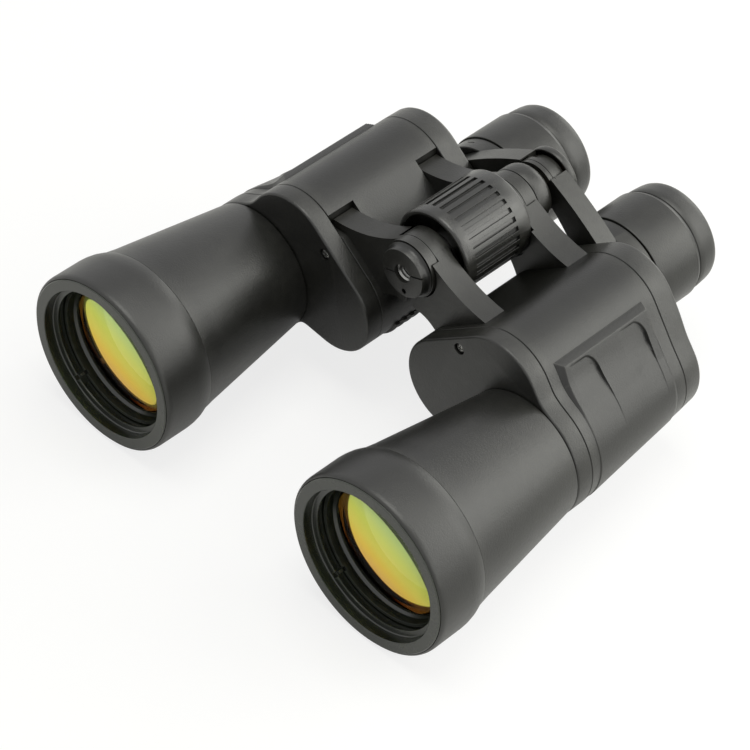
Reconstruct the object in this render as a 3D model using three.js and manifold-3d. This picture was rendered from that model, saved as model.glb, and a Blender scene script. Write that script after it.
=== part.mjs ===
// Porro-prism binoculars of the 50 mm class, folded to their narrowest setting.
// Millimetres, +Z up, +Y towards the eyepieces, +X to the user's right.
// The halves are laid out about the hinge axis (x = 0, z = 0) with y = 0 at the objective rims;
// the exported group is then moved so that its origin is the bottom centre of the whole object.
import * as THREE from 'three';
import { mergeVertices } from 'three/addons/utils/BufferGeometryUtils.js';
import Module from 'manifold-3d';

const wasm = await Module();
wasm.setup();

// ---------------------------------------------------------------- driving dimensions
const GAP = 0.3;                 // space between neighbouring solids
const WALL = 2.2;                // wall of the moulded housings

const OBJECTIVE_X = 59.3;        // optical axis of an objective
const OBJECTIVE_Z = -33;
const EYEPIECE_X = 27.6;         // optical axis of an eyepiece
const EYEPIECE_Z = -26.6;
const CREST_X = 45.6;            // axis between the two prisms, under the crest of the housing
const CREST_Z = -14.5;

const HOOD_RADIUS = 31.7;        // rubber bumper round an objective
const HOOD_LENGTH = 20.3;
const LENS_RADIUS = 25.5;
const LENS_BACK_Y = 18;
const BARREL_BACK_RADIUS = 22.9;

const PLATE_Y = 70;              // flat face of the front cover
const FRONT_SEAM_Y = 76.5;       // front cover to housing
const SHELF_Y = 100;             // middle of the prism shelf
const REAR_SEAM_Y = 127;         // housing to rear cover
const HOUSING_END_Y = 135.5;
const LENGTH = 178.4;
const NOTCH_X = 35.1;            // pockets in the left housing for the ends of its hinge arms
const NOTCH_FLOOR_Z = -5;
const NOTCHES = [[FRONT_SEAM_Y, 87.9], [116.9, REAR_SEAM_Y]];

const HUB_RADIUS = 10.2;         // hinge knuckles
const AXLE_RADIUS = 5;
const SPINDLE_RADIUS = 3.4;
const WHEEL_RADIUS = 15.4;
const WHEEL_FRONT_Y = 88.4;
const WHEEL_BACK_Y = 118.1;
const WHEEL_RIBS = 29;
const WHEEL_SIDES = 36;

const SLEEVE_RADIUS = 19.8;      // ring round an eyepiece
const SLEEVE_FRONT_Y = 149.6;
const SLEEVE_BACK_Y = 168.6;
const EYECUP_RADIUS = 18.5;
const EYECUP_SEAT_Y = 165;       // floor of the pocket in the ring that takes the eyecup
const OCULAR_RADIUS = 14;        // tube that carries the eyepiece glass
const FLANGE_RADIUS = 16.2;      // and its head, which slides in the ring
const FLANGE_Y = 150.6;

const OUTLINE_POINTS = 44;       // corners round a housing section
const BARREL_SEGMENTS = 28;
const OCULAR_SEGMENTS = 24;
const SMALL_SEGMENTS = 20;

// ---------------------------------------------------------------- solids and meshes
function indexed(geometry) {
  const bare = geometry.clone();
  bare.deleteAttribute('normal');
  bare.deleteAttribute('uv');
  return mergeVertices(bare, 1e-4);
}

// A closed three.js geometry as a solid that can be joined and cut.
function solid(geometry) {
  const merged = indexed(geometry);
  const triangles = [];
  for (let i = 0; i < merged.index.count; i += 3) {
    const [a, b, c] = [0, 1, 2].map((k) => merged.index.getX(i + k));
    if (a !== b && b !== c && c !== a) triangles.push(a, b, c);
  }
  return new wasm.Manifold(new wasm.Mesh({
    numProp: 3,
    vertProperties: Float32Array.from(merged.attributes.position.array),
    triVerts: Uint32Array.from(triangles),
  }));
}

function geometryOf(body) {
  const mesh = body.getMesh();
  const geometry = new THREE.BufferGeometry();
  geometry.setAttribute('position', new THREE.BufferAttribute(mesh.vertProperties, 3));
  geometry.setIndex(new THREE.BufferAttribute(mesh.triVerts, 1));
  geometry.computeVertexNormals();
  return geometry;
}

// The same shape on the other half: mirrored in x, with its faces turned out again.
function mirrored(geometry) {
  const copy = geometry.clone().scale(-1, 1, 1);
  const index = copy.index;
  for (let i = 0; i < index.count; i += 3) {
    const first = index.getX(i);
    index.setX(i, index.getX(i + 1));
    index.setX(i + 1, first);
  }
  copy.computeVertexNormals();
  return copy;
}

function cut(body, ...tools) {
  return tools.reduce((left, tool) => left.subtract(tool), body);
}

function join(body, ...others) {
  return others.reduce((whole, other) => whole.add(other), body);
}

// Solid of revolution about an axis parallel to Y through (x, z). The profile lists [radius, y]
// pairs: either from the axis back to the axis, or a closed ring when it ends where it starts.
function turned(profile, x, z, segments) {
  const points = profile.map(([radius, y]) => new THREE.Vector2(radius, y));
  return solid(new THREE.LatheGeometry(points, segments).translate(x, 0, z));
}

function rod(radius, y0, y1, x = 0, z = 0, segments = SMALL_SEGMENTS) {
  return turned([[0, y0], [radius, y0], [radius, y1], [0, y1]], x, z, segments);
}

function ring(profile, x, z, segments) {
  return turned([...profile, profile[0]], x, z, segments);
}

function block(x0, x1, y0, y1, z0, z1) {
  const box = new THREE.BoxGeometry(x1 - x0, y1 - y0, z1 - z0);
  return solid(box.translate((x0 + x1) / 2, (y0 + y1) / 2, (z0 + z1) / 2));
}

// Straight-sided shape from its [x, z] corners.
function outline(corners) {
  return new THREE.Shape(corners.map(([x, z]) => new THREE.Vector2(x, z)));
}

// A shape drawn in x and z, as thick as y0 to y1.
function slab(shape, y0, y1, curveSegments = 6) {
  const geometry = new THREE.ExtrudeGeometry(shape, { depth: y1 - y0, bevelEnabled: false, curveSegments });
  return solid(geometry.rotateX(Math.PI / 2).translate(0, y1, 0));
}

// ---------------------------------------------------------------- section of a prism housing
// Signed distance to the hull of two circles a and b.
function hullDistance(px, pz, a, b) {
  const [bx, bz] = [b.x - a.x, b.z - a.z];
  const [dx, dz] = [px - a.x, pz - a.z];
  const length2 = bx * bx + bz * bz;
  const qx = Math.abs(dx * bz - dz * bx) / length2;
  const qy = (dx * bx + dz * bz) / length2;
  const taper = a.r - b.r;
  const side = Math.sqrt(length2 - taper * taper);
  const k = side * qy - taper * qx;
  if (k < 0) return Math.sqrt(length2 * (qx * qx + qy * qy)) - a.r;
  if (k > side) return Math.sqrt(length2 * (qx * qx + qy * qy + 1 - 2 * qy)) - b.r;
  return side * qx + taper * qy - a.r;
}

function blendedMin(a, b, radius) {
  const h = Math.max(radius - Math.abs(a - b), 0) / radius;
  return Math.min(a, b) - h * h * radius / 4;
}

// The housing wraps two prism lobes and the objective tube. The tube narrows towards the back:
// narrowing is 0 at the front seam and 1 at the rear seam.
function housingDistance(px, pz, narrowing) {
  const inner = { x: 26.2, z: -28.4, r: 17.3 };
  const crest = { x: CREST_X, z: CREST_Z, r: 18.1 };
  const shoulder = { x: OBJECTIVE_X, z: OBJECTIVE_Z, r: 17.6 };
  const tube = { x: OBJECTIVE_X - narrowing, z: OBJECTIVE_Z - narrowing, r: 23 - 5 * narrowing };
  const floor = { x: OBJECTIVE_X, z: OBJECTIVE_Z, r: 9 };
  const prisms = Math.min(hullDistance(px, pz, inner, crest), hullDistance(px, pz, crest, shoulder));
  const web = Math.min(prisms, hullDistance(px, pz, inner, floor));
  return blendedMin(web, Math.hypot(px - tube.x, pz - tube.z) - tube.r, 3);
}

// How far the housing reaches from its centre at an angle, drawn in from its surface by inset.
const CENTRE_X = 48;
const CENTRE_Z = -27;

function reach(angle, narrowing, inset) {
  let [near, far] = [0, 60];
  for (let step = 0; step < 30; step += 1) {
    const middle = (near + far) / 2;
    const [px, pz] = [CENTRE_X + middle * Math.cos(angle), CENTRE_Z + middle * Math.sin(angle)];
    if (housingDistance(px, pz, narrowing) + inset < 0) near = middle;
    else far = middle;
  }
  return near;
}

// Section of the housing at y: constant in front of the front seam, then narrowing evenly.
function housingSection(y, inset) {
  const back = Math.max(0, (y - FRONT_SEAM_Y) / (REAR_SEAM_Y - FRONT_SEAM_Y));
  const points = [];
  for (let i = 0; i < OUTLINE_POINTS; i += 1) {
    const angle = (2 * Math.PI * i) / OUTLINE_POINTS;
    const atFront = reach(angle, 0, inset);
    const radius = atFront + (reach(angle, 1, inset) - atFront) * back;
    points.push(new THREE.Vector3(CENTRE_X + radius * Math.cos(angle), y, CENTRE_Z + radius * Math.sin(angle)));
  }
  return points;
}

// Closed body through a row of housing sections, given as [y, inset] pairs from front to back.
function housingLoft(stations) {
  const sections = stations.map(([y, inset]) => housingSection(y, inset));
  const positions = sections.flat().flatMap((p) => [p.x, p.y, p.z]);
  const triangles = [];
  for (let s = 0; s + 1 < sections.length; s += 1) {
    for (let i = 0; i < OUTLINE_POINTS; i += 1) {
      const next = (i + 1) % OUTLINE_POINTS;
      const [a, b] = [s * OUTLINE_POINTS + i, s * OUTLINE_POINTS + next];
      const [c, d] = [a + OUTLINE_POINTS, b + OUTLINE_POINTS];
      triangles.push(a, c, b, b, c, d);
    }
  }
  const flat = (section) => section.map((p) => new THREE.Vector2(p.x, p.z));
  const cap = (section) => THREE.ShapeUtils.triangulateShape(flat(section), []);
  const last = (sections.length - 1) * OUTLINE_POINTS;
  for (const [a, b, c] of cap(sections[0])) triangles.push(a, b, c);
  for (const [a, b, c] of cap(sections.at(-1))) triangles.push(last + a, last + c, last + b);
  return new wasm.Manifold(new wasm.Mesh({
    numProp: 3,
    vertProperties: Float32Array.from(positions),
    triVerts: Uint32Array.from(triangles),
  }));
}

// ---------------------------------------------------------------- objective end
function objectiveParts() {
  const at = [OBJECTIVE_X, OBJECTIVE_Z, BARREL_SEGMENTS];
  const boreRadius = 27.6;
  const collarRadius = 28.9;
  const spigotRadius = 20.3;

  const barrel = ring([
    [boreRadius, 1.3], [collarRadius, 1.3], [collarRadius, HOOD_LENGTH - 0.6],
    [29.7, HOOD_LENGTH + GAP], [BARREL_BACK_RADIUS, PLATE_Y - GAP], [spigotRadius, PLATE_Y - GAP],
    [spigotRadius, 74], [18.3, 74], [26.4, 24], [24, LENS_BACK_Y + GAP], [boreRadius, LENS_BACK_Y + GAP],
  ], ...at);

  const hood = ring([
    [30.9, 0.4], [31.4, 0.8], [HOOD_RADIUS, 3], [HOOD_RADIUS, 13], [31.1, 16.5], [29.9, HOOD_LENGTH],
    [29.3, HOOD_LENGTH - 0.6], [collarRadius + GAP, 16], [collarRadius + GAP, 1.3], [30.9, 1.3],
  ], ...at);

  const bezel = ring([
    [26.6, 0], [30.6, 0], [30.6, 1], [27.3, 1], [27.3, LENS_BACK_Y],
    [25.9, LENS_BACK_Y], [25.9, 3], [26.6, 3],
  ], ...at);

  const spannerSlot = block(OBJECTIVE_X - 28, OBJECTIVE_X + 28, 7, 8.2, OBJECTIVE_Z - 1, OBJECTIVE_Z + 1);
  const retainer = cut(ring([[23.9, 7.6], [25.5, 7.6], [25.5, 12.2], [24.4, 12.2]], ...at), spannerSlot);

  const lens = turned([
    [0, 11], [10, 11.3], [19, 12], [24, 12.7], [LENS_RADIUS - 0.1, 13.2],
    [LENS_RADIUS - 0.1, LENS_BACK_Y], [12, 17.6], [0, 17.4],
  ], ...at);

  return {
    objective_barrel: barrel, objective_hood: hood, objective_bezel: bezel,
    lens_retaining_ring: retainer, objective_lens: lens,
  };
}

// ---------------------------------------------------------------- prism housing
const SCREW_X = 29.7;
const SCREW_Z = -8.9;

const BOSS_RADIUS = 3.4;

// Room for the end of an arm at the top of the left housing, as deep as its floor.
function notch([y0, y1], clearance) {
  return block(24, NOTCH_X - clearance, y0, y1, NOTCH_FLOOR_Z + clearance, 10);
}

// Tube of the housing with the boss for the cover screw. The left one is thickened inside
// round its two notches, so that they stay closed.
function housingTube(side) {
  const outer = housingLoft([[FRONT_SEAM_Y + GAP, 0], [REAR_SEAM_Y - GAP, 0]]);
  const tube = join(
    cut(outer, housingLoft([[FRONT_SEAM_Y, WALL], [REAR_SEAM_Y, WALL]])),
    rod(BOSS_RADIUS, FRONT_SEAM_Y + GAP, 88, SCREW_X, SCREW_Z, 12),
  );
  const drilled = (body) => cut(body, rod(1.6, FRONT_SEAM_Y, 85, SCREW_X, SCREW_Z, 12));
  if (side > 0) return drilled(tube);
  const pad = 2;
  const pads = NOTCHES.map(([y0, y1]) => (
    block(24, NOTCH_X + pad, y0 - pad, y1 + pad, NOTCH_FLOOR_Z - pad, 5).intersect(outer)
  ));
  const notches = NOTCHES.map(([y0, y1]) => notch([y0 - 1, y1 + 1], 0));
  return drilled(cut(join(tube, ...pads), ...notches));
}

function housingParts(side) {
  const frontCover = cut(
    housingLoft([[PLATE_Y, 0.7], [PLATE_Y + 0.7, 0], [FRONT_SEAM_Y, 0]]),
    cut(
      housingLoft([[PLATE_Y + 2.5, WALL], [FRONT_SEAM_Y + 1, WALL]]),
      rod(BOSS_RADIUS, PLATE_Y, FRONT_SEAM_Y, SCREW_X, SCREW_Z, 12),
    ),
    rod(20.6, PLATE_Y - 1, FRONT_SEAM_Y + 1, OBJECTIVE_X, OBJECTIVE_Z, BARREL_SEGMENTS),
    rod(2.5, PLATE_Y - 1, PLATE_Y + 1.4, SCREW_X, SCREW_Z, 16),
    rod(1.6, PLATE_Y, FRONT_SEAM_Y + 1, SCREW_X, SCREW_Z, 12),
  );

  const rearCover = cut(
    housingLoft([[REAR_SEAM_Y, 0], [HOUSING_END_Y - 1.4, 0.1], [HOUSING_END_Y, 1.3]]),
    housingLoft([[REAR_SEAM_Y - 1, WALL], [HOUSING_END_Y - 2.6, WALL + 0.8]]),
    rod(OCULAR_RADIUS + 0.4, REAR_SEAM_Y, HOUSING_END_Y + 1, EYEPIECE_X, EYEPIECE_Z, OCULAR_SEGMENTS),
  );

  const screw = cut(
    join(
      rod(2.1, PLATE_Y + 0.2, PLATE_Y + 1.1, SCREW_X, SCREW_Z, 16),
      rod(1.2, PLATE_Y + 0.8, 83, SCREW_X, SCREW_Z, 12),
    ),
    block(SCREW_X - 1.4, SCREW_X + 1.4, PLATE_Y, PLATE_Y + 0.7, SCREW_Z - 0.25, SCREW_Z + 0.25),
    block(SCREW_X - 0.25, SCREW_X + 0.25, PLATE_Y, PLATE_Y + 0.7, SCREW_Z - 1.4, SCREW_Z + 1.4),
  );

  return {
    prism_housing: housingTube(side), front_cover: frontCover, rear_cover: rearCover, cover_screw: screw,
  };
}

// A band of the housing's skin between two directions seen from a centre, as [x, z] corners.
function skinPatch(corners, y0, y1, lift, thickness) {
  const skin = cut(
    housingLoft([[y0, -lift - thickness], [y1, -lift - thickness]]),
    housingLoft([[y0 - 1, -lift], [y1 + 1, -lift]]),
  );
  return skin.intersect(slab(outline(corners), y0 - 1, y1 + 1));
}

function rubberParts() {
  const flank = [[CENTRE_X, CENTRE_Z], [60.5, 3], [92, 3], [92, -44], [70, -44]];
  const panelFront = 81;
  const panelBack = 122;
  const lift = 0.95;
  const panel = skinPatch(flank, panelFront, panelBack, GAP, lift - GAP);

  // Two scoops for the fingers, deepest at their rear edges.
  const depth = 0.4;
  const above = lift + 0.1;
  const scoopFront = 84;
  const scoopBack = 118;
  const scoops = cut(
    housingLoft([[scoopFront, -2], [scoopBack, -2]]),
    housingLoft([
      [scoopFront - 1, -above], [86, -above], [95, depth - lift], [95.4, -above],
      [106.5, -above], [116.5, depth - lift], [116.9, -above], [scoopBack + 1, -above],
    ]),
  ).intersect(slab(outline([[CENTRE_X, CENTRE_Z], [67.1, 3], [92, -8], [92, -22.5]]), scoopFront, scoopBack));

  const corner = [[CENTRE_X, CENTRE_Z], [6.8, -35], [6.8, -48.3], [26, -52.4]];
  const ribPitch = 3.4;
  const ribCount = 9;
  const ribFront = 83.8;
  let thumbRest = skinPatch(corner, ribFront, ribFront + ribPitch * ribCount - 1.6, GAP, 0.35);
  for (let i = 0; i < ribCount; i += 1) {
    const y = ribFront + ribPitch * i;
    thumbRest = thumbRest.add(skinPatch(corner, y, y + 1.8, GAP + 0.1, 0.7));
  }
  return { grip_panel: cut(panel, scoops), thumb_rest: thumbRest };
}

// ---------------------------------------------------------------- prisms
// A right-angle prism whose long face lies at faceY and spans from one optical axis to the next;
// it points along y by direction (+1 back, -1 front). Its spring clip bends over it with a gap.
function prismPair(fromX, fromZ, toX, toZ, faceY, direction) {
  const half = 20;
  const width = 20;
  const clipWidth = 7;
  const inner = 0.5;
  const outer = 1.6;
  const along = new THREE.Vector3(toX - fromX, 0, toZ - fromZ).normalize();
  const up = new THREE.Vector3(0, direction, 0);
  const across = new THREE.Vector3().crossVectors(along, up);
  const place = new THREE.Matrix4().makeBasis(along, up, across);
  place.setPosition((fromX + toX) / 2, faceY, (fromZ + toZ) / 2);

  const wedge = (points, thickness) => {
    const geometry = new THREE.ExtrudeGeometry(outline(points), { depth: thickness, bevelEnabled: false });
    return solid(geometry.translate(0, 0, -thickness / 2).applyMatrix4(place));
  };
  const prism = wedge([
    [-half, 0], [half, 0], [half - 1, 1], [1, half - 1], [-1, half - 1], [1 - half, 1],
  ], width);
  const rise = 1.414;
  const clip = wedge([
    [-half - outer * rise, 0], [-half - inner * rise, 0], [0, half + inner * rise],
    [half + inner * rise, 0], [half + outer * rise, 0], [1.2, half + outer * rise - 1.2],
    [-1.2, half + outer * rise - 1.2],
  ], clipWidth);
  return [prism, clip];
}

function prismParts() {
  const shelfFront = SHELF_Y - 1;
  const shelfBack = SHELF_Y + 1;
  const beamRadius = 9.5;
  const beams = [[OBJECTIVE_X, OBJECTIVE_Z], [CREST_X, CREST_Z], [EYEPIECE_X, EYEPIECE_Z]];
  const shelf = cut(
    housingLoft([[shelfFront, WALL + 0.5], [shelfBack, WALL + 0.5]]),
    ...beams.map(([x, z]) => rod(beamRadius, shelfFront - 1, shelfBack + 1, x, z, SMALL_SEGMENTS)),
  );
  const [objective, crest, eyepiece] = beams;
  const [rearPrism, rearClip] = prismPair(...objective, ...crest, shelfBack + GAP, 1);
  const [frontPrism, frontClip] = prismPair(...crest, ...eyepiece, shelfFront - GAP, -1);
  return {
    prism_shelf: shelf, rear_prism: rearPrism, rear_prism_clip: rearClip,
    front_prism: frontPrism, front_prism_clip: frontClip,
  };
}

// ---------------------------------------------------------------- hinge arms
// Web from the hub to the housing: a long sweep on top, a shorter one underneath, and a straight
// edge near the middle plane, which meets the other half's web when the binoculars are folded.
// The rear web is shallower, so that it leaves the space under the focus wheel open.
function hingeWeb(y0, y1, rear) {
  const web = new THREE.Shape();
  web.moveTo(5.9, 8.3);
  web.quadraticCurveTo(19, -1.5, 34, -2.4);
  web.lineTo(38, -2.7);
  web.lineTo(40, -12);
  web.lineTo(22, -30);
  if (rear) {
    web.lineTo(13, -23);
    web.quadraticCurveTo(11.2, -17.4, 7, -13);
    web.lineTo(1.2, -10.8);
  } else {
    web.lineTo(10, -28);
    web.quadraticCurveTo(8.6, -17.2, 2.4, -16.7);
    web.lineTo(1.2, -15.5);
  }
  web.lineTo(1.2, -4);
  return slab(web, y0, y1, 6);
}

// An arm keeps its own knuckle, and is cut away round the knuckle of the other half. The ends
// of the left arms sink into the notches of their housing.
function hingeArm(side, rear, webFront, webBack, own, other) {
  const hubRadius = HUB_RADIUS + (rear ? 0.3 : 0);
  const hubSegments = 24;
  const around = housingLoft([[webFront - 1, -GAP], [webBack + 1, -GAP]]);
  const housing = side < 0 ? cut(around, notch([webFront - 1, webBack + 1], GAP)) : around;
  const otherKnuckle = rod(hubRadius + 0.5, other[0] - GAP, other[1] + GAP, 0, 0, hubSegments);
  return cut(
    join(
      cut(hingeWeb(webFront, webBack, rear), otherKnuckle, housing),
      rod(hubRadius, own[0], own[1], 0, 0, hubSegments),
    ),
    rod(AXLE_RADIUS + GAP, own[0] - 1, own[1] + 1),
  );
}

function hingeArms(side) {
  const outerFront = [77.9, 81.5];
  const innerFront = [81.8, 88];
  const innerRear = [118.6, 121.9];
  const outerRear = [122.2, 127];
  const frontKnuckles = side < 0 ? [outerFront, innerFront] : [innerFront, outerFront];
  const rearKnuckles = side < 0 ? [outerRear, innerRear] : [innerRear, outerRear];
  const front = hingeArm(side, false, 79, 87.6, ...frontKnuckles);
  const wheelRoom = rod(WHEEL_RADIUS + 0.6, 110, WHEEL_BACK_Y + GAP, 0, 0, 32);
  const rear = cut(hingeArm(side, true, 117.2, REAR_SEAM_Y - GAP, ...rearKnuckles), wheelRoom);
  return { front_hinge_arm: front, rear_hinge_arm: rear };
}

// ---------------------------------------------------------------- eyepieces and their bridge
function bridgeArm(side) {
  const armFront = HOUSING_END_Y + GAP;
  const armBack = 143.1;
  const split = 139.5;
  // The collar has a slim neck between the arm and the wider seat of the turning ring.
  const neckRadius = 16.5;
  const seatRadius = 19.2;
  const seatFront = 142.8;
  const rightHub = { radius: 9.2, front: armFront, back: split - GAP / 2 };
  const leftHub = { radius: 8.2, front: split + GAP / 2, back: armBack };
  const [own, other] = side < 0 ? [leftHub, rightHub] : [rightHub, leftHub];
  const web = new THREE.Shape();
  web.moveTo(6.8, 7.4);
  web.quadraticCurveTo(21.9, -0.3, 35.4, -12);
  web.lineTo(EYEPIECE_X, -14);
  web.lineTo(17, -12);
  web.quadraticCurveTo(10, -4, 3.4, 0);
  return cut(
    join(
      cut(slab(web, armFront, armBack), rod(other.radius + 0.4, other.front - GAP, other.back + GAP, 0, 0, 24)),
      rod(own.radius, own.front, own.back, 0, 0, 24),
      rod(neckRadius, armFront + 0.3, seatFront + 0.3, EYEPIECE_X, EYEPIECE_Z, BARREL_SEGMENTS),
      rod(seatRadius, seatFront, SLEEVE_FRONT_Y - GAP, EYEPIECE_X, EYEPIECE_Z, BARREL_SEGMENTS),
    ),
    rod(OCULAR_RADIUS + 0.4, armFront - 1, SLEEVE_FRONT_Y + 1, EYEPIECE_X, EYEPIECE_Z, OCULAR_SEGMENTS),
    rod(AXLE_RADIUS + GAP, armFront - 1, armBack + 1),
  );
}

function eyepieceParts() {
  const at = [EYEPIECE_X, EYEPIECE_Z];
  const sleeve = ring([
    [FLANGE_RADIUS + GAP, SLEEVE_FRONT_Y], [SLEEVE_RADIUS - 0.4, SLEEVE_FRONT_Y],
    [SLEEVE_RADIUS, SLEEVE_FRONT_Y + 0.6], [SLEEVE_RADIUS, SLEEVE_BACK_Y - 0.8],
    [SLEEVE_RADIUS - 0.5, SLEEVE_BACK_Y],
    [EYECUP_RADIUS + 0.4, SLEEVE_BACK_Y], [EYECUP_RADIUS + 0.4, EYECUP_SEAT_Y],
    [FLANGE_RADIUS + GAP, EYECUP_SEAT_Y],
  ], ...at, OCULAR_SEGMENTS);
  const tube = ring([
    [OCULAR_RADIUS - 1.4, 121], [OCULAR_RADIUS, 121], [OCULAR_RADIUS, FLANGE_Y],
    [FLANGE_RADIUS, FLANGE_Y], [FLANGE_RADIUS, 170.2], [11.6, 170.2], [11.6, 169],
    [OCULAR_RADIUS - 1.4, 169],
  ], ...at, OCULAR_SEGMENTS);
  const fieldLens = turned([
    [0, 125], [8, 125.5], [12.2, 127], [12.2, 129], [0, 129],
  ], ...at, SMALL_SEGMENTS);
  const eyeLens = turned([
    [0, 161], [12.2, 161], [12.2, 164.5], [8, 166.2], [0, 167],
  ], ...at, SMALL_SEGMENTS);
  const eyecup = ring([
    [FLANGE_RADIUS + GAP, 166.6], [EYECUP_RADIUS, 166.6], [EYECUP_RADIUS, 176.6], [17.8, LENGTH - 0.2],
    [17, LENGTH], [15.7, LENGTH - 0.3], [15.2, 173.2], [11.2, 172.2], [11.2, 170.5],
    [FLANGE_RADIUS + GAP, 170.5],
  ], ...at, OCULAR_SEGMENTS);
  return { sleeve, ocular_tube: tube, field_lens: fieldLens, eye_lens: eyeLens, eyecup };
}

// ---------------------------------------------------------------- hinge and focus drive
const PIN_Y = 98.5;
const FOCUS_TRAVEL = 7;

function centreParts() {
  const pinRadius = 1.2;
  const capFront = 74.5;
  const capRadius = 9;
  const socketRadius = 3.3;

  const cap = cut(
    turned([
      [0, capFront], [capRadius - 0.6, capFront], [capRadius, capFront + 0.6], [capRadius, 77.6], [0, 77.6],
    ], 0, 0, 28),
    rod(socketRadius, capFront - 1, 79, 0, 0, 16),
    block(-10, 10, capFront - 1, capFront + 0.5, -0.35, 0.35),
    rod(0.9, capFront - 1, capFront + 1.5, 0.6, -6.6, 8),
  );
  const axle = cut(
    ring([[3.8, 77.9], [AXLE_RADIUS, 77.9], [AXLE_RADIUS, 127], [3.8, 127]], 0, 0, SMALL_SEGMENTS),
    block(-8, 8, PIN_Y - 2, PIN_Y + FOCUS_TRAVEL + 2, -1.6, 1.6),
  );
  const rearCap = ring([
    [3.8, 127.3], [10.6, 127.3], [10.6, 131.6], [9.9, 133.6], [8.4, 134.7], [3.8, 134.7],
  ], 0, 0, 28);
  const spindle = cut(
    turned([
      [0, 94], [SPINDLE_RADIUS, 94], [SPINDLE_RADIUS, 135.2], [AXLE_RADIUS, 135.2], [AXLE_RADIUS, 143.1],
      [2.7, 143.1], [2.7, 145.6], [0, 145.6],
    ], 0, 0, SMALL_SEGMENTS),
    crossRod(pinRadius + GAP, 20, PIN_Y),
  );
  const endCap = ring([
    [3, 143.4], [HUB_RADIUS - 0.1, 143.4], [HUB_RADIUS, 145.4], [HUB_RADIUS - 0.5, 146], [3, 146],
  ], 0, 0, 28);

  return {
    hinge_front_cap: cap, hinge_axle: axle, hinge_rear_cap: rearCap, focus_spindle: spindle,
    focus_drive_pin: crossRod(pinRadius, 15, PIN_Y), bridge_end_cap: endCap, focus_wheel: focusWheel(),
  };
}

// A rod across the hinge axis, along x.
function crossRod(radius, length, y) {
  return solid(new THREE.CylinderGeometry(radius, radius, length, 12).rotateZ(Math.PI / 2).translate(0, y, 0));
}

function focusWheel() {
  const ribFront = 92.6;
  const ribBack = 112.4;
  const rootRadius = WHEEL_RADIUS - 0.9;
  const ribRadius = WHEEL_RADIUS - 0.15;
  const chamber = 8.5;
  const frontBand = turned([
    [0, 91.4], [13.4, 91.4], [14, WHEEL_FRONT_Y], [WHEEL_RADIUS - 0.5, WHEEL_FRONT_Y],
    [WHEEL_RADIUS, WHEEL_FRONT_Y + 0.8], [WHEEL_RADIUS, ribFront], [0, ribFront],
  ], 0, 0, WHEEL_SIDES);
  const rearBand = turned([
    [0, ribBack], [WHEEL_RADIUS, ribBack], [WHEEL_RADIUS, WHEEL_BACK_Y - 0.8],
    [WHEEL_RADIUS - 0.5, WHEEL_BACK_Y], [0, WHEEL_BACK_Y],
  ], 0, 0, WHEEL_SIDES);

  // One rib, as shares of the pitch between ribs and radii.
  const rib = [[-0.3, rootRadius], [-0.24, ribRadius], [0.24, ribRadius], [0.3, rootRadius]];
  const corners = [];
  const pitch = (2 * Math.PI) / WHEEL_RIBS;
  for (let i = 0; i < WHEEL_RIBS; i += 1) {
    for (const [turn, radius] of rib) {
      const angle = pitch * (i + turn);
      corners.push(new THREE.Vector2(radius * Math.cos(angle), radius * Math.sin(angle)));
    }
  }
  const ribbed = slab(new THREE.Shape(corners), ribFront - 0.1, ribBack + 0.1);
  return cut(
    join(frontBand, ribbed, rearBand),
    rod(AXLE_RADIUS + GAP, WHEEL_FRONT_Y, WHEEL_BACK_Y + 1),
    rod(chamber, PIN_Y - 2.5, PIN_Y + FOCUS_TRAVEL + 2.5),
  );
}

// ---------------------------------------------------------------- finishes
function finish(color, roughness, metalness, opacity = 1) {
  const clear = opacity < 1;
  return new THREE.MeshStandardMaterial({ color, roughness, metalness, opacity, transparent: clear });
}

const FINISHES = {
  armour: finish('#3a3a38', 0.62, 0),
  casting: finish('#3d3d3b', 0.5, 0.1),
  rubber: finish('#2b2b2a', 0.8, 0),
  blackened: finish('#1a1a1a', 0.45, 0.4),
  steel: finish('#8a8c8e', 0.35, 1),
  brass: finish('#a98a4b', 0.4, 1),
  coated_glass: finish('#d8c050', 0.05, 0, 0.55),
  prism_glass: finish('#dfe8e6', 0.05, 0, 0.4),
};

const FINISH_OF = {
  objective_barrel: 'armour', objective_hood: 'rubber', objective_bezel: 'casting',
  lens_retaining_ring: 'blackened', objective_lens: 'coated_glass', prism_housing: 'armour',
  front_cover: 'casting', rear_cover: 'casting', cover_screw: 'steel', grip_panel: 'rubber',
  thumb_rest: 'rubber', prism_shelf: 'casting', rear_prism: 'prism_glass', rear_prism_clip: 'steel',
  front_prism: 'prism_glass', front_prism_clip: 'steel', front_hinge_arm: 'casting',
  rear_hinge_arm: 'casting', bridge_arm: 'casting', eyepiece_sleeve: 'casting', diopter_ring: 'casting',
  ocular_tube: 'blackened', field_lens: 'prism_glass', eye_lens: 'prism_glass', eyecup: 'rubber',
  hinge_front_cap: 'casting', hinge_axle: 'steel', hinge_rear_cap: 'casting', focus_spindle: 'brass',
  focus_drive_pin: 'steel', bridge_end_cap: 'casting', focus_wheel: 'rubber',
};

// ---------------------------------------------------------------- assembly
const binoculars = new THREE.Group();

function place(name, geometry, kind) {
  const mesh = new THREE.Mesh(geometry, FINISHES[FINISH_OF[kind]]);
  mesh.name = name;
  binoculars.add(mesh);
}

const shared = { ...objectiveParts(), ...rubberParts(), ...prismParts() };
const { sleeve, ...ocular } = eyepieceParts();

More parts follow.
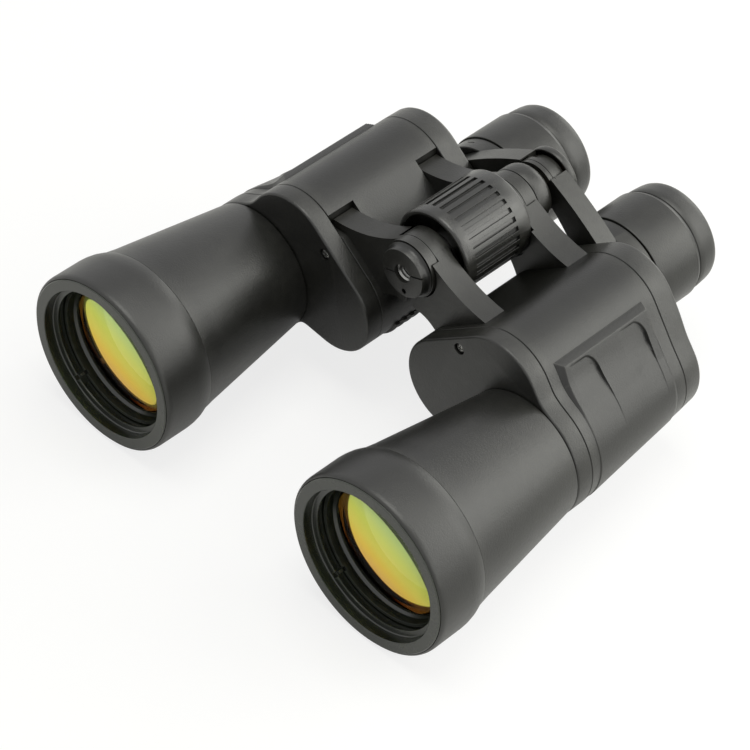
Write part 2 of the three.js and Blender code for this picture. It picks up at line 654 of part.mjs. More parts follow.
for (const [name, side] of [['left', -1], ['right', 1]]) {
  const ringName = side < 0 ? 'eyepiece_sleeve' : 'diopter_ring';
  const half = {
    ...shared, ...housingParts(side), ...hingeArms(side), bridge_arm: bridgeArm(side), ...ocular,
    [ringName]: sleeve,
  };
  for (const [kind, body] of Object.entries(half)) {
    const geometry = geometryOf(body);
    place(`${name}_${kind}`, side < 0 ? mirrored(geometry) : geometry, kind);
  }
}
for (const [kind, body] of Object.entries(centreParts())) place(kind, geometryOf(body), kind);

binoculars.position.set(0, -LENGTH / 2, HOOD_RADIUS - OBJECTIVE_Z);

export default binoculars;
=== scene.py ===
import math

import bmesh
import bpy
from mathutils import Matrix, Vector


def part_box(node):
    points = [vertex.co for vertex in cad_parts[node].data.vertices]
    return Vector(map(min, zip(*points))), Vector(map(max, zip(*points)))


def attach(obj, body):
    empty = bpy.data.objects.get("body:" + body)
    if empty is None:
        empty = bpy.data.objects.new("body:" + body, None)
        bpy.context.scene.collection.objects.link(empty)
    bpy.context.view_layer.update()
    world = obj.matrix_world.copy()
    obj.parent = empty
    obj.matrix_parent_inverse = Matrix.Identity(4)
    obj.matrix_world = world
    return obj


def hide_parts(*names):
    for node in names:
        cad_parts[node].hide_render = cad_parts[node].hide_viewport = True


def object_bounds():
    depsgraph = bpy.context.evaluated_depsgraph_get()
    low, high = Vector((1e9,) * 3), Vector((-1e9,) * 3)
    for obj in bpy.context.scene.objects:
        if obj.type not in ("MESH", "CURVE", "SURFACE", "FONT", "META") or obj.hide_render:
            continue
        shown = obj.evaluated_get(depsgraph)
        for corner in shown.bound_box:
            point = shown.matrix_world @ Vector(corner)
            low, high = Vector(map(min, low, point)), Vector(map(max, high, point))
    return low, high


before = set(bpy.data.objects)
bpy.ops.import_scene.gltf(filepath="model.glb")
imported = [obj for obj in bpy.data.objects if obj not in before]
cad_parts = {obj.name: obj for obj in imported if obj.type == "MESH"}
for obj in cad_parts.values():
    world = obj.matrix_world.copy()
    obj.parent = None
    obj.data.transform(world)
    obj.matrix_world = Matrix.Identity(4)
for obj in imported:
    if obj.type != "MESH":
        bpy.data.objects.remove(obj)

solid_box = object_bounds()

# ---- Camera, pale floor and soft studio light.
# The floor and the space round it look white to the camera, in gloss and through glass. Soft boxes
# behind, to the right and overhead put long highlights along the tops of the binoculars.
scene = bpy.context.scene
scene.view_settings.view_transform = "Standard"

camera_data = bpy.data.cameras.new("camera")
camera_data.lens = 150.6
camera_data.shift_x = 0.0013
camera_data.shift_y = 0.0013
camera_data.sensor_width = 36
camera = bpy.data.objects.new("camera", camera_data)
camera_right = Vector((0.71259, 0.70028, 0.04284)).normalized()
camera_back = Vector((0.48121, -0.53228, 0.69651)).normalized()
camera_up = camera_back.cross(camera_right)
camera_turn = Matrix((camera_right, camera_up, camera_back)).transposed().to_4x4()
camera.matrix_world = Matrix.Translation((0.48372, -0.55996, 0.72689)) @ camera_turn
scene.collection.objects.link(camera)
scene.camera = camera

SOFT_WHITE = (1.0, 1.0, 0.93)
BOX_SIZE = 0.9
BOX_DISTANCE = 1.4
AIM_HEIGHT = 0.04


def soft_box(name, azimuth, elevation, power):
    """A square area lamp that faces the binoculars, with its azimuth from the front by the right."""
    lamp = bpy.data.lights.new(name, "AREA")
    lamp.size = BOX_SIZE
    lamp.energy = power
    lamp.color = SOFT_WHITE
    turn, tilt = math.radians(azimuth), math.radians(elevation)
    towards = Vector((math.sin(turn) * math.cos(tilt), -math.cos(turn) * math.cos(tilt), math.sin(tilt)))
    holder = bpy.data.objects.new(name, lamp)
    holder.location = towards * BOX_DISTANCE + Vector((0, 0, AIM_HEIGHT))
    holder.rotation_euler = towards.to_track_quat("Z", "Y").to_euler()
    scene.collection.objects.link(holder)


soft_box("right", 90, 18, 4.5)
soft_box("right_rear", 135, 18, 6.6)
soft_box("right_rear_high", 135, 45, 5.0)
soft_box("rear", 180, 18, 5.6)
soft_box("overhead", 0, 89, 9.4)


def joined(tree, *links):
    """Link sockets in a node tree, given as (from, to) pairs."""
    for source, target in links:
        tree.links.new(source, target)


def maximum(tree, first, second):
    """The larger of two values."""
    larger = tree.nodes.new("ShaderNodeMath")
    larger.operation = "MAXIMUM"
    joined(tree, (first, larger.inputs[0]), (second, larger.inputs[1]))
    return larger.outputs[0]


world = bpy.data.worlds.new("studio")
scene.world = world
world.use_nodes = True
tree = world.node_tree
tree.nodes.clear()
path = tree.nodes.new("ShaderNodeLightPath")
mirrored_rays = maximum(tree, path.outputs["Is Glossy Ray"], path.outputs["Is Transmission Ray"])
surround = tree.nodes.new("ShaderNodeBackground")
surround.inputs["Color"].default_value = (*SOFT_WHITE, 1)
surround.inputs["Strength"].default_value = 0.22
white = tree.nodes.new("ShaderNodeBackground")
white.inputs["Color"].default_value = (1, 1, 1, 1)
white.inputs["Strength"].default_value = 1.0
choose = tree.nodes.new("ShaderNodeMixShader")
out = tree.nodes.new("ShaderNodeOutputWorld")
joined(tree, (maximum(tree, mirrored_rays, path.outputs["Is Camera Ray"]), choose.inputs[0]),
       (surround.outputs[0], choose.inputs[1]), (white.outputs[0], choose.inputs[2]),
       (choose.outputs[0], out.inputs["Surface"]))

floor_finish = bpy.data.materials.new("pale_floor")
floor_finish.use_nodes = True
tree = floor_finish.node_tree
tree.nodes.clear()
path = tree.nodes.new("ShaderNodeLightPath")
mirrored_rays = maximum(tree, path.outputs["Is Glossy Ray"], path.outputs["Is Transmission Ray"])
tone = tree.nodes.new("ShaderNodeMapRange")
tone.inputs["To Min"].default_value = 0.24
tone.inputs["To Max"].default_value = 0.76
paper = tree.nodes.new("ShaderNodeBsdfDiffuse")
seen = tree.nodes.new("ShaderNodeMath")
seen.operation = "MULTIPLY"
seen.inputs[1].default_value = 0.79
lit = tree.nodes.new("ShaderNodeMath")
lit.operation = "MULTIPLY_ADD"
lit.inputs[1].default_value = 0.22
glow = tree.nodes.new("ShaderNodeEmission")
both = tree.nodes.new("ShaderNodeAddShader")
out = tree.nodes.new("ShaderNodeOutputMaterial")
joined(tree, (mirrored_rays, tone.inputs["Value"]), (tone.outputs[0], paper.inputs["Color"]),
       (path.outputs["Is Camera Ray"], seen.inputs[0]), (mirrored_rays, lit.inputs[0]),
       (seen.outputs[0], lit.inputs[2]), (lit.outputs[0], glow.inputs["Strength"]),
       (paper.outputs[0], both.inputs[0]), (glow.outputs[0], both.inputs[1]),
       (both.outputs[0], out.inputs["Surface"]))

sheet = bmesh.new()
bmesh.ops.create_grid(sheet, x_segments=1, y_segments=1, size=6)
floor_mesh = bpy.data.meshes.new("floor")
sheet.to_mesh(floor_mesh)
sheet.free()
floor_mesh.materials.append(floor_finish)
floor = bpy.data.objects.new("floor", floor_mesh)
scene.collection.objects.link(floor)

# ---- Objective barrels, one on each side.
# Each is a turned light-alloy tube in fine-grained black paint that narrows towards the prism
# housing. Sizes are millimetres: x and z from the hinge axis, y from the rims of the objectives.
RIMS = solid_box[0].y
WHEEL_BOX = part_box("focus_wheel")
HINGE = (WHEEL_BOX[0].z + WHEEL_BOX[1].z) / 2
TO_FRAME = Matrix.Translation((0, RIMS, HINGE)) @ Matrix.Scale(0.001, 4)
SIDES = (("left", -1), ("right", 1))
OBJECTIVE = (59.3, -33)
BARREL_FRONT = 20.5
BARREL_STEPS = 144
WELD = 0.002
PAINT_TONES = ((0.0035, 0.0036, 0.003), (0.0065, 0.0066, 0.0055))


def socket(group, name, kind, direction, default=None):
    """A named socket on a node group."""
    made = group.interface.new_socket(name=name, in_out=direction, socket_type=kind)
    if default is not None:
        made.default_value = default


def grain_group():
    """Fine pebbled grain of a moulded or painted surface, with broad soft mottling."""
    group = bpy.data.node_groups.new("fine grain", "ShaderNodeTree")
    socket(group, "Vector", "NodeSocketVector", "INPUT")
    socket(group, "Grain per Metre", "NodeSocketFloat", "INPUT", 1800)
    socket(group, "Height", "NodeSocketFloat", "OUTPUT")
    socket(group, "Mottle", "NodeSocketFloat", "OUTPUT")
    feed = group.nodes.new("NodeGroupInput")
    send = group.nodes.new("NodeGroupOutput")
    fine = group.nodes.new("ShaderNodeTexNoise")
    fine.inputs["Detail"].default_value = 3
    fine.inputs["Roughness"].default_value = 0.6
    broad = group.nodes.new("ShaderNodeTexNoise")
    broad.inputs["Scale"].default_value = 55
    broad.inputs["Detail"].default_value = 4
    joined(group, (feed.outputs["Vector"], fine.inputs["Vector"]),
           (feed.outputs["Grain per Metre"], fine.inputs["Scale"]),
           (feed.outputs["Vector"], broad.inputs["Vector"]),
           (fine.outputs["Fac"], send.inputs["Height"]), (broad.outputs["Fac"], send.inputs["Mottle"]))
    return group


def wear_and_highlight_group():
    """Mask of raised edges, broken up by noise, where the colour turns lighter: partly wear, partly a painted
    highlight.
    """
    group = bpy.data.node_groups.new("edge wear and painted highlight", "ShaderNodeTree")
    socket(group, "Vector", "NodeSocketVector", "INPUT")
    socket(group, "Reach", "NodeSocketFloat", "INPUT", 0.04)
    socket(group, "Mask", "NodeSocketFloat", "OUTPUT")
    feed = group.nodes.new("NodeGroupInput")
    send = group.nodes.new("NodeGroupOutput")
    shape = group.nodes.new("ShaderNodeNewGeometry")
    patches = group.nodes.new("ShaderNodeTexNoise")
    patches.inputs["Scale"].default_value = 260
    patches.inputs["Detail"].default_value = 5
    raised = group.nodes.new("ShaderNodeMapRange")
    raised.inputs["From Min"].default_value = 0.5
    top = group.nodes.new("ShaderNodeMath")
    top.inputs[0].default_value = 0.5
    broken = group.nodes.new("ShaderNodeMath")
    broken.operation = "MULTIPLY"
    joined(group, (shape.outputs["Pointiness"], raised.inputs["Value"]),
           (feed.outputs["Reach"], top.inputs[1]), (top.outputs[0], raised.inputs["From Max"]),
           (feed.outputs["Vector"], patches.inputs["Vector"]),
           (raised.outputs[0], broken.inputs[0]), (patches.outputs["Fac"], broken.inputs[1]),
           (broken.outputs[0], send.inputs["Mask"]))
    return group


GRAIN = grain_group()
WEAR_AND_HIGHLIGHT = wear_and_highlight_group()


def mixed(tree, factor, first, second):
    """Colour between first and second by a mask socket."""
    mix = tree.nodes.new("ShaderNodeMix")
    mix.data_type = "RGBA"
    mix.inputs["A"].default_value = (*first, 1)
    mix.inputs["B"].default_value = (*second, 1)
    tree.links.new(factor, mix.inputs["Factor"])
    return mix


def ranged(tree, value, low, high):
    """A 0 to 1 value spread over low to high."""
    stretch = tree.nodes.new("ShaderNodeMapRange")
    stretch.inputs["To Min"].default_value = low
    stretch.inputs["To Max"].default_value = high
    tree.links.new(value, stretch.inputs["Value"])
    return stretch.outputs[0]


def grained(name, dark, light, worn_and_highlight, rough, grain, depth, sheen=0.56, metallic=0.0):
    """A black finish: mottled colour, raised edges lighter with wear and a painted highlight, uneven gloss
    and a fine grain.
    """
    finish = bpy.data.materials.new(name)
    finish.use_nodes = True
    tree = finish.node_tree
    shader = tree.nodes["Principled BSDF"]
    shader.inputs["Specular IOR Level"].default_value = sheen
    shader.inputs["Metallic"].default_value = metallic
    where = tree.nodes.new("ShaderNodeTexCoord")
    pebble = tree.nodes.new("ShaderNodeGroup")
    pebble.node_tree = GRAIN
    pebble.inputs["Grain per Metre"].default_value = grain
    edges = tree.nodes.new("ShaderNodeGroup")
    edges.node_tree = WEAR_AND_HIGHLIGHT
    joined(tree, (where.outputs["Object"], pebble.inputs["Vector"]),
           (where.outputs["Object"], edges.inputs["Vector"]))
    base = mixed(tree, pebble.outputs["Mottle"], dark, light)
    # Raised edges take a lighter colour: partly wear, partly a painted highlight.
    wear_and_highlight_mix = tree.nodes.new("ShaderNodeMix")
    wear_and_highlight_mix.data_type = "RGBA"
    wear_and_highlight_mix.inputs["B"].default_value = (*worn_and_highlight, 1)
    bump = tree.nodes.new("ShaderNodeBump")
    bump.inputs["Strength"].default_value = 0.35
    bump.inputs["Distance"].default_value = depth
    joined(tree, (base.outputs["Result"], wear_and_highlight_mix.inputs["A"]),
           (edges.outputs["Mask"], wear_and_highlight_mix.inputs["Factor"]),
           (wear_and_highlight_mix.outputs["Result"], shader.inputs["Base Color"]),
           (ranged(tree, pebble.outputs["Mottle"], rough - 0.05, rough + 0.05), shader.inputs["Roughness"]),
           (pebble.outputs["Height"], bump.inputs["Height"]),
           (bump.outputs["Normal"], shader.inputs["Normal"]))
    return finish


def turned(profile, x, z, steps=BARREL_STEPS, ring=True):
    """A [radius, y] profile spun a full turn about an axis along y through x and z."""
    shape = bmesh.new()
    corners = [shape.verts.new((x + radius, y, z)) for radius, y in profile]
    pairs = list(zip(corners, corners[1:]))
    if ring:
        pairs.append((corners[-1], corners[0]))
    sides = [shape.edges.new(pair) for pair in pairs]
    bmesh.ops.spin(shape, geom=corners + sides, cent=(x, 0, z), axis=(0, 1, 0), angle=math.tau,
                   steps=steps, use_merge=True)
    return tidied(shape)


def tidied(shape):
    """Doubles merged and every face turned outwards."""
    bmesh.ops.remove_doubles(shape, verts=shape.verts, dist=WELD)
    bmesh.ops.recalc_face_normals(shape, faces=shape.faces)
    return shape


def piece(name, shape, finish, body, slot, *replaced, edge=0.0, rings=2, sharp=30):
    """The object for a shape: brought to metres in the shared frame, finished and riding its body."""
    shape.transform(TO_FRAME)
    mesh = bpy.data.meshes.new(name)
    shape.to_mesh(mesh)
    shape.free()
    mesh.materials.append(finish)
    mesh.shade_smooth()
    part = bpy.data.objects.new(name, mesh)
    scene.collection.objects.link(part)
    if edge:
        rounding = part.modifiers.new("rounded edges", "BEVEL")
        rounding.width = edge / 1000
        rounding.segments = rings
        rounding.limit_method = "ANGLE"
        rounding.angle_limit = math.radians(sharp)
        rounding.harden_normals = True
    else:
        mesh.set_sharp_from_angle(angle=math.radians(sharp))
    if replaced:
        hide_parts(*replaced)
    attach(part, body)
    return part


BODY_PAINT = grained("black_body_paint", *PAINT_TONES, (0.03, 0.03, 0.027), 0.34, 1750, 0.00026)

for side, sign in SIDES:
    barrel = turned([
        (27.6, 1.3), (28.9, 1.3), (28.9, 19.7), (29.95, BARREL_FRONT), (29.55, 23), (29.0, 26),
        (28.7, 28.3), (22.9, 69.7), (20.3, 69.7), (20.3, 74), (18.3, 74), (26.4, 24), (24, 18.3),
        (27.6, 18.3),
    ], sign * OBJECTIVE[0], OBJECTIVE[1])
    piece(f"{side}_barrel", barrel, BODY_PAINT, f"{side}_half", "body_shell", f"{side}_objective_barrel",
          edge=0.1, sharp=25)

# ---- Rubber hoods round the objectives.
# A moulded rubber bumper is pressed over the front of each barrel. It bulges slightly, rolls in
# at its back edge, and covers the thread of the ring that holds the glass.
RUBBER_TONES = ((0.0045, 0.0046, 0.004), (0.008, 0.008, 0.007))
HOOD_RUBBER = grained("black_hood_rubber", *RUBBER_TONES, (0.03, 0.03, 0.027), 0.36, 1900, 0.00026)

for side, sign in SIDES:
    hood = turned([
        (30.75, 0.35), (31.35, 0.8), (31.62, 1.6), (31.7, 2.6), (31.7, 13.5), (31.55, 15.5),
        (31.15, 17.6), (30.6, 19.2), (30.15, 20.3), (29.5, 20.1), (29.2, 19.4), (29.2, 1.3),
        (30.75, 1.3),
    ], sign * OBJECTIVE[0], OBJECTIVE[1])
    piece(f"{side}_hood", hood, HOOD_RUBBER, f"{side}_half", "rubber_armour", f"{side}_objective_hood",
          edge=0.15, sharp=35)

# ---- Front rings, retaining rings and objective glasses.
# A blackened metal ring screws into the barrel, and a thin retaining ring with two spanner notches
# holds the achromat against its seat. The reflection of its warm coating is painted on the glass:
# orange low, green high, and a painted brown reflection round its edge.
RING_BLACK = grained("blackened_ring", (0.014, 0.017, 0.011), (0.022, 0.027, 0.018),
                     (0.09, 0.10, 0.08), 0.22, 5200, 0.00002, sheen=0.65)
CUT_WELD = 0.001
LENS_RADIUS = 24.6
LENS_FRONT = 11
LENS_FRONT_EDGE = 12.9
LENS_REAR = 14.6
LENS_REAR_EDGE = 13.4
NOTCH_ANGLE = -129.5
COATING_REACH = 0.025
RIM_BLEND = 0.0005
# Radius and offset of the zone outside which each coating carries a painted brown reflection, in metres.
PAINTED_RIM_ZONES = {"right": ((0.0017, 0.0021), 0.0216), "left": ((0.0007, 0.0009), 0.0224)}


def block(low, high):
    """A box between two corners."""
    shape = bmesh.new()
    bmesh.ops.create_cube(shape, size=1)
    middle = [(a + b) / 2 for a, b in zip(low, high)]
    bmesh.ops.scale(shape, vec=[b - a for a, b in zip(low, high)], verts=shape.verts)
    bmesh.ops.translate(shape, vec=middle, verts=shape.verts)
    return shape


def merged(*shapes):
    """Several shapes in one, each kept closed."""
    whole = bmesh.new()
    for shape in shapes:
        mesh = bpy.data.meshes.new("part")
        shape.to_mesh(mesh)
        shape.free()
        whole.from_mesh(mesh)
        bpy.data.meshes.remove(mesh)
    return whole


def machined(stock, *steps):
    """A closed shape with others joined to it or cut from it, as (operation, shape) pairs."""
    def held(shape):
        mesh = bpy.data.meshes.new("stock")
        shape.to_mesh(mesh)
        shape.free()
        holder = bpy.data.objects.new("stock", mesh)
        scene.collection.objects.link(holder)
        return holder

    work = held(stock)
    tools = []
    for operation, shape in steps:
        tools.append(held(shape))
        step = work.modifiers.new(operation.lower(), "BOOLEAN")
        step.operation = operation
        step.solver = "EXACT"
        step.object = tools[-1]
    cut = work.evaluated_get(bpy.context.evaluated_depsgraph_get())
    mesh = bpy.data.meshes.new_from_object(cut)
    result = bmesh.new()
    result.from_mesh(mesh)
    bpy.data.meshes.remove(mesh)
    for used in (work, *tools):
        left_over = used.data
        bpy.data.objects.remove(used)
        bpy.data.meshes.remove(left_over)
    bmesh.ops.remove_doubles(result, verts=result.verts, dist=CUT_WELD)
    return result


def turned_to(shape, angle, x, z):
    """The shape turned about an axis along y, from the right by an angle towards the top."""
    turn = Matrix.Rotation(-math.radians(angle), 3, "Y")
    bmesh.ops.rotate(shape, cent=(x, 0, z), matrix=turn, verts=shape.verts)
    return shape


def lens_face(centre, edge, steps=10):
    """Points down a shallow curved face of a lens, from its middle to its edge."""
    sag = edge - centre
    return [(LENS_RADIUS * i / steps, centre + sag * (i / steps) ** 2) for i in range(steps + 1)]


def clear_glass(name, dark, light):
    """Polished glass with a faint tint where its coating mottles."""
    finish = bpy.data.materials.new(name)
    finish.use_nodes = True
    tree = finish.node_tree
    shader = tree.nodes["Principled BSDF"]
    shader.inputs["Transmission Weight"].default_value = 1.0
    shader.inputs["Roughness"].default_value = 0.0
    shader.inputs["IOR"].default_value = 1.52
    shader.inputs["Specular Tint"].default_value = (0.02, 0.02, 0.02, 1)
    where = tree.nodes.new("ShaderNodeTexCoord")
    cloud = tree.nodes.new("ShaderNodeTexNoise")
    cloud.inputs["Scale"].default_value = 90
    tree.links.new(where.outputs["Object"], cloud.inputs["Vector"])
    tint = mixed(tree, cloud.outputs["Fac"], dark, light)
    tree.links.new(tint.outputs["Result"], shader.inputs["Base Color"])
    return finish


def coating(name, x, z, offset, clear):
    """The coating of a glass centred on x, z (metres), with its reflection painted in: orange low,
    green high and near black at the lowest edge.

    Outside a zone, given by its radius (clear) and its offset from the centre, it turns brown: a
    painted dark reflection round the edge of the glass.
    """
    finish = bpy.data.materials.new(name)
    finish.use_nodes = True
    tree = finish.node_tree
    shader = tree.nodes["Principled BSDF"]
    shader.inputs["Metallic"].default_value = 1.0
    shader.inputs["Roughness"].default_value = 0.02
    where = tree.nodes.new("ShaderNodeTexCoord")
    centred = tree.nodes.new("ShaderNodeMapping")
    centred.inputs["Location"].default_value = (-x, 0, -z)
    centred.inputs["Scale"].default_value = (1, 0, 1)
    across = tree.nodes.new("ShaderNodeVectorMath")
    across.operation = "DOT_PRODUCT"
    across.inputs[1].default_value = (0.407, 0, 0.914)
    drift = tree.nodes.new("ShaderNodeMapRange")
    drift.inputs["From Min"].default_value = -COATING_REACH
    drift.inputs["From Max"].default_value = COATING_REACH
    # The ramp paints the coating's reflection: near black at the lowest edge, orange low, green high.
    tint = tree.nodes.new("ShaderNodeValToRGB")
    ramp = tint.color_ramp
    ramp.elements[0].position = 0.07
    ramp.elements[0].color = (0.03, 0.012, 0.004, 1)
    ramp.elements[1].position = 0.56
    ramp.elements[1].color = (0.66, 0.84, 0.31, 1)
    for position, colour in ((0.10, (0.48, 0.18, 0.04, 1)), (0.14, (0.93, 0.56, 0.15, 1)),
                             (0.23, (0.96, 0.67, 0.12, 1)), (0.31, (0.90, 0.77, 0.15, 1)),
                             (0.43, (0.79, 0.83, 0.17, 1))):
        ramp.elements.new(position).color = colour
    # Beyond the zone the colour is multiplied to brown: a painted dark reflection round the glass.
    out_from = tree.nodes.new("ShaderNodeVectorMath")
    out_from.operation = "DISTANCE"
    out_from.inputs[1].default_value = (offset[0], 0, offset[1])
    rim = tree.nodes.new("ShaderNodeMapRange")
    rim.inputs["From Min"].default_value = clear
    rim.inputs["From Max"].default_value = clear + RIM_BLEND
    painted_rim_reflection = tree.nodes.new("ShaderNodeMix")
    painted_rim_reflection.data_type = "RGBA"
    painted_rim_reflection.blend_type = "MULTIPLY"
    painted_rim_reflection.inputs["B"].default_value = (0.11, 0.06, 0.05, 1)
    joined(tree, (where.outputs["Object"], centred.inputs["Vector"]),
           (centred.outputs["Vector"], across.inputs[0]), (across.outputs["Value"], drift.inputs["Value"]),
           (drift.outputs[0], tint.inputs["Fac"]), (tint.outputs["Color"], painted_rim_reflection.inputs["A"]),
           (centred.outputs["Vector"], out_from.inputs[0]),
           (out_from.outputs["Value"], rim.inputs["Value"]),
           (rim.outputs[0], painted_rim_reflection.inputs["Factor"]),
           (painted_rim_reflection.outputs["Result"], shader.inputs["Base Color"]))
    return finish


CROWN = clear_glass("objective_crown_glass", (0.94, 0.97, 0.92), (0.98, 0.99, 0.96))

for side, sign in SIDES:
    x, z = sign * OBJECTIVE[0], OBJECTIVE[1]
    bezel = machined(
        turned([
            (26.6, 0.2), (26.8, 0), (30.3, 0), (30.6, 0.3), (30.6, 1), (27.3, 1), (27.3, 18),
            (25.9, 18), (25.9, 5.1), (24.75, 4.75), (LENS_RADIUS, 4.5), (24.7, 4.15), (26.35, 3.8),
            (26.6, 3.5),
        ], x, z),
        ("DIFFERENCE", turned_to(block((x + 24, 3.3, z - 0.8), (x + 26.2, 5.4, z + 0.8)), NOTCH_ANGLE, x, z)),
        ("UNION", turned_to(block((x + 25.2, 5.9, z - 0.5), (x + 26.4, 7.3, z + 0.5)), NOTCH_ANGLE, x, z)))
    piece(f"{side}_bezel", bezel, RING_BLACK, f"{side}_half", "body_shell", f"{side}_objective_bezel",
          edge=0.08, sharp=25)
    retainer = machined(
        turned([(24.3, 7.6), (25.5, 7.6), (25.5, 12.2), (23.6, 12.2), (23.6, 11.4), (24.3, 10.4)], x, z),
        ("DIFFERENCE", turned_to(block((x - 28, 7, z - 0.7), (x + 28, 8.2, z + 0.7)), NOTCH_ANGLE, x, z)))
    piece(f"{side}_retaining_ring", retainer, RING_BLACK, f"{side}_half", "black_anodised",
          f"{side}_lens_retaining_ring", edge=0.08, sharp=25)
    front_face = lens_face(LENS_FRONT, LENS_FRONT_EDGE)
    rear_face = lens_face(LENS_REAR, LENS_REAR_EDGE)
    glass = turned(front_face + [(25.2, 13.15)] + rear_face[::-1], x, z, ring=False)
    for face in glass.faces:
        middle = face.calc_center_median()
        blackened = math.hypot(middle.x - x, middle.z - z) > LENS_RADIUS
        face.material_index = 2 if blackened else int(middle.y > LENS_REAR_EDGE + 0.05)
    centre = TO_FRAME @ Vector((x, 0, z))
    rear_painted_coating = coating(f"{side}_lens_coating_painted_reflection", centre.x, centre.z, *PAINTED_RIM_ZONES[side])
    doublet = piece(f"{side}_objective_glass", glass, CROWN, f"{side}_half", "coated_glass",
                    f"{side}_objective_lens")
    doublet.data.materials.append(rear_painted_coating)
    doublet.data.materials.append(RING_BLACK)

# ---- Prism housings with their front and rear covers.
# Each is a cast shell that wraps two prisms and the objective tube, closed by a flat plate in
# front and a rounded cover behind. The covers meet it at fine dark seams.
PLATE = 70.0
FRONT_SEAM = 76.5
REAR_SEAM = 127.0
HOUSING_END = 135.5
WALL = 2.2
CENTRE = Vector((48, -27))
INNER_LOBE = (Vector((26.2, -28.4)), 17.3)
CREST = (Vector((45.6, -14.5)), 18.1)
SHOULDER = (Vector(OBJECTIVE), 17.6)
FLOOR_LOBE = (Vector(OBJECTIVE), 9)
TUBE_FRONT_RADIUS = 23
TUBE_TAPER = 5
TUBE_BLEND = 3
FARTHEST_SKIN = 60.0
HALVINGS = 22
EYEPIECE = (27.6, -26.6)
BORE = 14.4
SCREW = (29.7, -8.9)
POINTS = 256


def hull_distance(point, first, second):
    """Signed distance from a point to the hull of two circles."""
    (a, ra), (b, rb) = first, second
    along, off = b - a, point - a
    length = along.length_squared
    across = abs(off.x * along.y - off.y * along.x) / length
    down = off.dot(along) / length
    taper = ra - rb
    slope = math.sqrt(length - taper * taper)
    k = slope * down - taper * across
    if k < 0:
        return math.sqrt(length * (across * across + down * down)) - ra
    if k > slope:
        return math.sqrt(length * (across * across + down * down + 1 - 2 * down)) - rb
    return slope * across + taper * down - ra


def housing_distance(point, narrowing):
    """Signed distance to the housing's section: prism lobes with the objective tube blended in.

    Narrowing runs from 0 at the front seam to 1 at the rear seam.
    """
    web = min(hull_distance(point, INNER_LOBE, CREST), hull_distance(point, CREST, SHOULDER),
              hull_distance(point, INNER_LOBE, FLOOR_LOBE))
    tube_centre = Vector((OBJECTIVE[0] - narrowing, OBJECTIVE[1] - narrowing))
    tube = (point - tube_centre).length - (TUBE_FRONT_RADIUS - TUBE_TAPER * narrowing)
    blend = max(TUBE_BLEND - abs(web - tube), 0) / TUBE_BLEND
    return min(web, tube) - blend * blend * TUBE_BLEND / 4


def reach(angle, narrowing, inset):
    """Radius from the housing's centre to its skin, drawn in by inset."""
    ray = Vector((math.cos(angle), math.sin(angle)))
    near, far = 0.0, FARTHEST_SKIN
    for _ in range(HALVINGS):
        middle = (near + far) / 2
        if housing_distance(CENTRE + ray * middle, narrowing) + inset < 0:
            near = middle
        else:
            far = middle
    return near


def skin(angle, y, inset):
    """The point on the housing's skin at an angle and a length."""
    back = max(0.0, (y - FRONT_SEAM) / (REAR_SEAM - FRONT_SEAM))
    front_reach = reach(angle, 0, inset)
    radius = front_reach + (reach(angle, 1, inset) - front_reach) * back
    ray = Vector((math.cos(angle), 0, math.sin(angle)))
    return Vector((CENTRE.x, y, CENTRE.y)) + ray * radius


def loop_on_skin(shape, y, inset):
    """A closed loop of edges round the housing."""
    points = [skin(math.tau * i / POINTS, y, inset) for i in range(POINTS)]
    corners = [shape.verts.new(point) for point in points]
    return [shape.edges.new(pair) for pair in zip(corners, corners[1:] + corners[:1])]


def lofted(stations, ring=False):
    """Skin through a row of [y, inset] stations, closed at both ends or back to its start."""
    shape = bmesh.new()
    loops = [loop_on_skin(shape, y, inset) for y, inset in stations]
    for first, second in zip(loops, loops[1:] + (loops[:1] if ring else [])):
        bmesh.ops.bridge_loops(shape, edges=first + second)
    if not ring:
        for loop in (loops[0], loops[-1]):
            bmesh.ops.contextual_create(shape, geom=loop)
    return tidied(shape)


def rod(radius, front, back, x=0.0, z=0.0, steps=64):
    """A plain round bar along y."""
    return turned([(0, front), (radius, front), (radius, back), (0, back)], x, z, steps, ring=False)


def mirrored(shape, sign):
    """The same shape on the left when sign is negative."""
    if sign < 0:
        bmesh.ops.scale(shape, vec=(-1, 1, 1), verts=shape.verts)
        bmesh.ops.recalc_face_normals(shape, faces=shape.faces)
    return shape


NOTCHES = ((FRONT_SEAM, 87.9), (116.9, REAR_SEAM))
NOTCH_CUTS = ((FRONT_SEAM - 0.5, 87.9), (116.9, REAR_SEAM + 0.5))
BACKING = 1.8
SEAM_EDGE = 0.12
SEAM_INSET = 0.25
SPANS = 14

